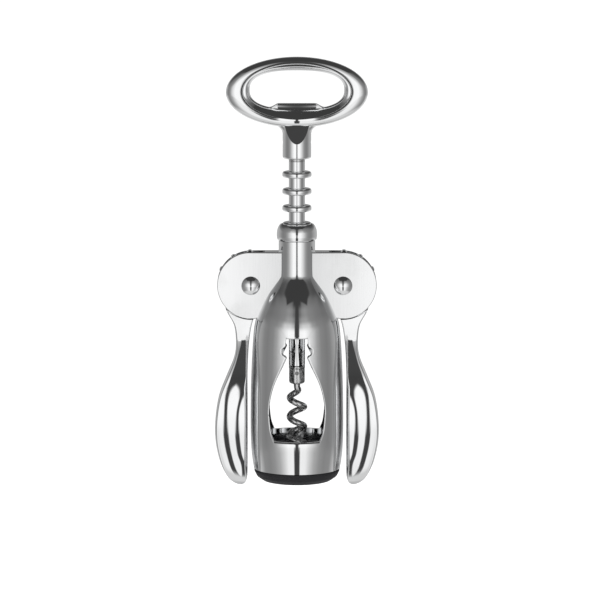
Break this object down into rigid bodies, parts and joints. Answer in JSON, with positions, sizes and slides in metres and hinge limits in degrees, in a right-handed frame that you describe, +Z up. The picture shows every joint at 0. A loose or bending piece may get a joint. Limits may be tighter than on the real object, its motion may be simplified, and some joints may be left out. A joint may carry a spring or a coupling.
{
  "type": "lever corkscrew",
  "caption": "Bottle-shaped corkscrew with two geared levers that lower and lift a ringed rack, an oval turning handle with a bottle opener, and a wire worm.",
  "frame": {"origin": "on the centre line, in the plane of the base ring's underside, where it rests on a bottle's lip", "axes": "+Z up along the worm towards the handle, -Y towards the front, +X towards the right lever; levers hang down at rest"},
  "size_m": [0.0724, 0.0406, 0.1895],
  "materials": {
    "chrome_body": "polished",
    "chrome_levers": "polished",
    "chrome_pins": "polished",
    "chrome_rack": "polished",
    "chrome_handle": "polished",
    "black_polymer": "satin",
    "steel": "turned",
    "steel_worm": "polished wire",
    "nylon": "moulded"
  },
  "bodies": {
    "body": {"body_casting": "chrome_body", "base_ring": "black_polymer", "neck_collar": "chrome_body", "left_pivot_pin": "chrome_pins", "left_pin_cap": "chrome_pins", "right_pivot_pin": "chrome_pins", "right_pin_cap": "chrome_pins", "left_front_lever_washer": "nylon", "left_rear_lever_washer": "nylon", "right_front_lever_washer": "nylon", "right_rear_lever_washer": "nylon"},
    "left_arm": {"left_lever": "chrome_levers"},
    "right_arm": {"right_lever": "chrome_levers"},
    "rack": {"rack_sleeve": "chrome_rack", "upper_thrust_washer": "steel", "lower_thrust_washer": "steel"},
    "spindle": {"spindle_rod": "steel", "worm_hub": "steel_worm", "worm_hub_pin": "steel", "worm": "steel_worm", "handle_casting": "chrome_handle", "handle_cross_pin": "steel"}
  },
  "joints": [
    {"name": "left_lever_hinge", "type": "hinge", "parent": "body", "child": "left_arm", "pos_m": [-0.02024, 0, 0.087], "axis": [0, 1, 0], "range_deg": [0, 150]},
    {"name": "right_lever_hinge", "type": "hinge", "parent": "body", "child": "right_arm", "pos_m": [0.02024, 0, 0.087], "axis": [0, -1, 0], "range_deg": [0, 150]},
    {"name": "rack_slide", "type": "slide", "parent": "body", "child": "rack", "axis": [0, 0, -1], "range_m": [0, 0.0373]},
    {"name": "handle_spin", "type": "hinge", "parent": "rack", "child": "spindle", "pos_m": [0, 0, 0.09], "axis": [0, 0, 1], "continuous": true}
  ],
  "couplings": [
    {"joint": "right_lever_hinge", "follows": "left_lever_hinge", "ratio": 1},
    {"joint": "rack_slide", "follows": "left_lever_hinge", "m_per_rad": 0.014228}
  ]
}
